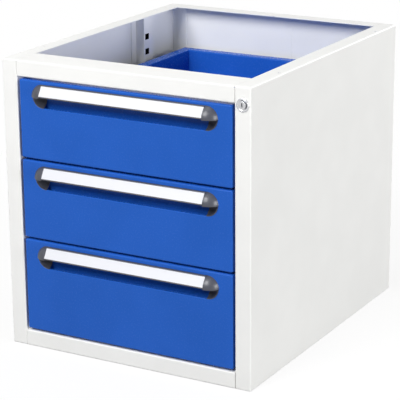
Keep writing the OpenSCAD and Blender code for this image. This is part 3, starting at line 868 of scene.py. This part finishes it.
def end_cap(drawer, side, name):
    z = grip_height(drawer)
    outer = arc_section(DOME_R, DOME_Y, DOME_HALF, True)
    inner = arc_section(DOME_R - CAP_WALL, DOME_Y, DOME_HALF - CAP_WALL, True)
    dome_section = outer + [(d, min(y, Y_FRONT)) for d, y in inner[::-1]]
    up = math.radians(90)
    quarter = [math.radians(90 - 90 * k / CAP_ARC_STEPS) for k in range(CAP_ARC_STEPS + 1)]
    dome = swept(dome_section, [(CAP_X, z, up)] + [(END_X, z, a) for a in quarter])

    reach = RECESS_HALF - LINING_GAP
    back = arc_section(RECESS_R - LINING_GAP, RECESS_Y, reach, False)
    face = arc_section(RECESS_R - LINING_GAP - LINING_WALL, RECESS_Y, reach - LINING_WALL, False)
    lining_section = back + face[::-1]
    ends = [(END_X, z, a) for a in half_turn(2 * CAP_ARC_STEPS)]
    lining = swept(lining_section, [(CAP_X, z, up)] + ends + [(CAP_X, z, -up)])
    return piece(
        f"{drawer}_moulded_cap_{name}", [mirrored(dome, side), mirrored(lining, side)],
        drawer, "grip_plastic", f"{drawer}_cap_{name}",
    )


for drawer in DRAWERS:
    end_cap(drawer, -1, "left")
    end_cap(drawer, 1, "right")

# %% [markdown]
# ## The lock
#
# The lock's barrel is turned on a lathe: a rose with a raised, rounded rim and a shallow
# dish, and behind it the threaded neck. A lathe part is a profile turned round its axis,
# so that is how it is made here. The plug in it also starts as rings, but its first
# rings are shaped like the key slot, which leaves a real slot without any cutting.

# %% Lock
KEY_SLOT_W, KEY_SLOT_H = 2.0 * MM, 7.5 * MM
SLOT_DEPTH = 9 * MM
SLOT_CHAMFER = 0.3 * MM
PLUG_R = 5.5 * MM
PLUG_HEAD_R = 7.0 * MM
PLUG_FREE = 0.3 * MM
BORE_R = 5.6 * MM
CHAMFER = 0.5 * MM
TINY = 1e-6
# The dish and rim are (radius, distance behind the rim). The edges of the rose and of the
# plug's head are (distance inside the edge, distance behind the face). All are in mm.
DISH = [(7.4, 0.9), (8.4, 0.75), (9.3, 0.15), (9.9, 0), (10.7, 0.1)]
ROSE_EDGE = [(0.5, 0.6), (0.1, 1.1), (0, 1.5)]
HEAD_EDGE = [(0.9, 0), (0.25, 0.25), (0, 0.8)]

barrel_low, barrel_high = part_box("lock_barrel")
plug_low, plug_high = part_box("lock_plug")
LOCK_X = (barrel_low.x + barrel_high.x) / 2
LOCK_Z = (barrel_low.z + barrel_high.z) / 2
ROSE_R = (barrel_high.x - barrel_low.x) / 2
NECK_R = 8 * MM


def slot_radius(width, height):
    """Distance from the middle to the edge of an upright slot, as a function of angle."""
    def radius(a):
        across, along = max(abs(math.cos(a)), TINY), max(abs(math.sin(a)), TINY)
        return min(width / 2 / across, height / 2 / along)
    return radius


rose_face = barrel_low.y
dish_rings = [(radius * MM, rose_face + behind * MM) for radius, behind in DISH]
edge_rings = [(ROSE_R - inside * MM, rose_face + behind * MM) for inside, behind in ROSE_EDGE]
neck_rings = [
    (ROSE_R, Y_FRONT), (NECK_R, Y_FRONT), (NECK_R, barrel_high.y - CHAMFER),
    (NECK_R - CHAMFER, barrel_high.y), (BORE_R, barrel_high.y),
]
rose_profile = [(BORE_R, dish_rings[0][1])] + dish_rings + edge_rings + neck_rings
piece(
    "turned_lock_barrel", [turned(rose_profile, LOCK_X, LOCK_Z, hollow=True)],
    "housing", "lock_chrome", "lock_barrel",
)

slot = slot_radius(KEY_SLOT_W, KEY_SLOT_H)
wide_slot = slot_radius(KEY_SLOT_W + 2 * SLOT_CHAMFER, KEY_SLOT_H + 2 * SLOT_CHAMFER)
slot_rings = [
    (slot, plug_low.y + SLOT_DEPTH), (slot, plug_low.y + SLOT_CHAMFER), (wide_slot, plug_low.y)
]
head_rings = [(PLUG_HEAD_R - inside * MM, plug_low.y + behind * MM) for inside, behind in HEAD_EDGE]
plug_profile = slot_rings + head_rings + [
    (PLUG_HEAD_R, rose_face - PLUG_FREE), (PLUG_R, rose_face - PLUG_FREE), (PLUG_R, plug_high.y)
]
piece(
    "lock_plug_with_key_slot", [turned(plug_profile, LOCK_X, LOCK_Z)],
    "lock", "lock_chrome", "lock_plug",
)
print("lock at", round(LOCK_X / MM, 1), round(LOCK_Z / MM, 1))

# %% [markdown]
# ## Runner rails
#
# Each runner has three rails, rolled from strip: one hooked into the uprights, one on
# the drawer, and one that floats between them. Rolling leaves round bends, and the lips
# keep the balls in their tracks. Sharp channels would look like timber, so each rail is
# a folded outline again, drawn by its distance from the upright and its height from the
# runner's middle, and pushed along Y.

# %% Runner rails
RAIL_SHEET = 1.5 * MM
RAIL_BEND = 1.0 * MM
LIP = 3.0 * MM
MIDDLE_FROM = 3 * MM
# Of each C-shaped rail: how far from the upright its lips and its web are, and half its
# height.
CABINET_RAIL = (13.5 * MM, 0, 20 * MM)
DRAWER_RAIL = (11.5 * MM, 19 * MM, 9 * MM)
RUNNER_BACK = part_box("drawer_1_middle_rails")[1].x + MIDDLE_FROM


def rail_z(drawer):
    """Height of a runner's middle."""
    low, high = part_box(drawer + "_rail_left")
    return (low.z + high.z) / 2


def c_rail(lip_u, web_u, half):
    """Path of a C-shaped rail with a lip on each flange, as (distance, height)."""
    upper = [(lip_u, half - LIP), (lip_u, half), (web_u, half)]
    return upper + [(u, -v) for u, v in upper[::-1]]


def rail_shape(outline, side, height, low_y, high_y):
    """Puts an outline of (distance, height) on the left or right side of the housing."""
    placed_outline = [(side * (RUNNER_BACK - u), height + v) for u, v in outline]
    return extruded(placed_outline, "Y", low_y, high_y)


BRACKET_H, BRACKET_L = 24 * MM, 20 * MM
HOOK_L, HOOK_T, HOOK_GAP = 10 * MM, 1.5 * MM, 0.3 * MM
HOOK_TOP, SLOT_BOTTOM, HOOK_BOTTOM = 2 * MM, -6 * MM, -9 * MM
SLOT_MIDDLE = 11.5 * MM
UPRIGHT_FACE = RUNNER_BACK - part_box("rear_right_upright")[0].x


def bracket_shapes(side, height):
    """Bent brackets on a cabinet rail, each with a hook through a slot of its upright."""
    path = [(0, BRACKET_H / 2), (UPRIGHT_FACE, BRACKET_H / 2)]
    bent = folded(path + [(u, -v) for u, v in path[::-1]], RAIL_SHEET, RAIL_BEND)
    root = UPRIGHT_FACE + RAIL_SHEET
    behind = UPRIGHT_FACE - RAIL_SHEET - HOOK_GAP
    hook = filleted([
        (behind - HOOK_T, HOOK_BOTTOM, HOOK_T / 3), (behind, HOOK_BOTTOM, HOOK_T / 3),
        (behind, SLOT_BOTTOM, HOOK_T / 3), (root, SLOT_BOTTOM, 0), (root, HOOK_TOP, 0),
        (behind - HOOK_T, HOOK_TOP, HOOK_T),
    ])
    shapes = []
    for upright in ("front_right_upright", "rear_right_upright"):
        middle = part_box(upright)[0].y + UPRIGHT_FOOT + SLOT_MIDDLE
        shapes += [
            rail_shape(outline, side, height, middle - length / 2, middle + length / 2)
            for outline, length in ((bent, BRACKET_L), (hook, HOOK_L))
        ]
    return shapes


# The middle rail is an I lying on its side: two flanges, and a web between them.
FLANGE_TOP, FLANGE_UNDER = 14.5 * MM, 13 * MM
FLANGE_END = 16 * MM
WEB_NEAR, WEB_FAR = 8.5 * MM, 10 * MM
OUT_R, IN_R, WEB_R = 0.7 * MM, 0.6 * MM, 1.2 * MM
far_half = [
    (MIDDLE_FROM, FLANGE_TOP, OUT_R), (FLANGE_END, FLANGE_TOP, OUT_R),
    (FLANGE_END, FLANGE_UNDER, IN_R), (WEB_FAR, FLANGE_UNDER, WEB_R),
]
near_half = [(MIDDLE_FROM, FLANGE_UNDER, IN_R), (WEB_NEAR, FLANGE_UNDER, WEB_R)]
middle_outline = filleted(
    far_half + [(u, -v, r) for u, v, r in far_half[::-1]]
    + [(u, -v, r) for u, v, r in near_half] + near_half[::-1]
)
for drawer in DRAWERS:
    z = rail_z(drawer)
    rails = []
    for side, name in ((-1, "left"), (1, "right")):
        node = f"{drawer}_cabinet_rail_{name}"
        low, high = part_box(node)
        outline = folded(c_rail(*CABINET_RAIL), RAIL_SHEET, RAIL_BEND)
        shapes = [rail_shape(outline, side, z, low.y, high.y)] + bracket_shapes(side, z)
        keep_flats_flat(piece(node + "_rolled", shapes, "housing", "runner_steel", node))

        node = f"{drawer}_rail_{name}"
        low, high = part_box(node)
        outline = folded(c_rail(*DRAWER_RAIL), -RAIL_SHEET, RAIL_BEND)
        made = piece(
            node + "_rolled", [rail_shape(outline, side, z, low.y, high.y)],
            drawer, "runner_steel", node,
        )
        keep_flats_flat(made)
        rails.append(rail_shape(middle_outline, side, z, low.y, high.y))
    made = piece(
        drawer + "_middle_rails_rolled", rails, drawer + "_middle_rails", "runner_steel",
        drawer + "_middle_rails",
    )
    keep_flats_flat(made)

# %% [markdown]
# ## Screws
#
# Four pan-head screws join each front to its tray. They are seen in an open drawer, on
# the inside of its front end. The cross in the head is made like the key slot: the
# innermost rings have the outline of a cross, and the outer ones are round.

# %% Screws
SCREW_HEAD_R = 3.8 * MM
SCREW_HEAD_T = 2.2 * MM
SCREW_R = 2 * MM
CROSS_ARM_W = 1.1 * MM
CROSS_REACH = 2.3 * MM
CROSS_DEPTH = 1.3 * MM
# How much the cross narrows and shortens towards its bottom.
CROSS_TAPER_W, CROSS_TAPER_REACH = 0.7, 0.5
TIP_TAPER, TIP_L = 0.6 * MM, 0.8 * MM
# The pan head is (distance inside its edge, distance from its underside), in mm.
PAN_HEAD = [(0, 0), (0, 0.7), (0.5, 1.4), (1.2, 2.0)]


def cross_radius(width, reach):
    """Distance from the middle to the edge of a cross, as a function of angle."""
    def radius(a):
        near_arm = min(abs(math.cos(a)), abs(math.sin(a)))
        return min(reach, width / 2 / max(near_arm, TINY))
    return radius


def pan_head_screw(x, z, tip_y, head_y):
    """A screw along Y, from its tip in front to the top of its head behind."""
    under = head_y - SCREW_HEAD_T
    shank = [(SCREW_R - TIP_TAPER, tip_y), (SCREW_R, tip_y + TIP_L), (SCREW_R, under)]
    head = [(SCREW_HEAD_R - inside * MM, under + up * MM) for inside, up in PAN_HEAD]
    cross_floor = cross_radius(CROSS_ARM_W * CROSS_TAPER_W, CROSS_REACH * CROSS_TAPER_REACH)
    cross = [
        (cross_radius(CROSS_ARM_W, CROSS_REACH), head_y), (cross_floor, head_y - CROSS_DEPTH)
    ]
    return turned(shank + head + cross, x, z)


for drawer in DRAWERS:
    low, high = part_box(drawer + "_screws")
    shapes = [
        pan_head_screw(x, z, low.y, high.y)
        for x in (low.x + SCREW_HEAD_R, high.x - SCREW_HEAD_R)
        for z in (low.z + SCREW_HEAD_R, high.z - SCREW_HEAD_R)
    ]
    piece(drawer + "_pan_head_screws", shapes, drawer, "zinc_steel", drawer + "_screws")
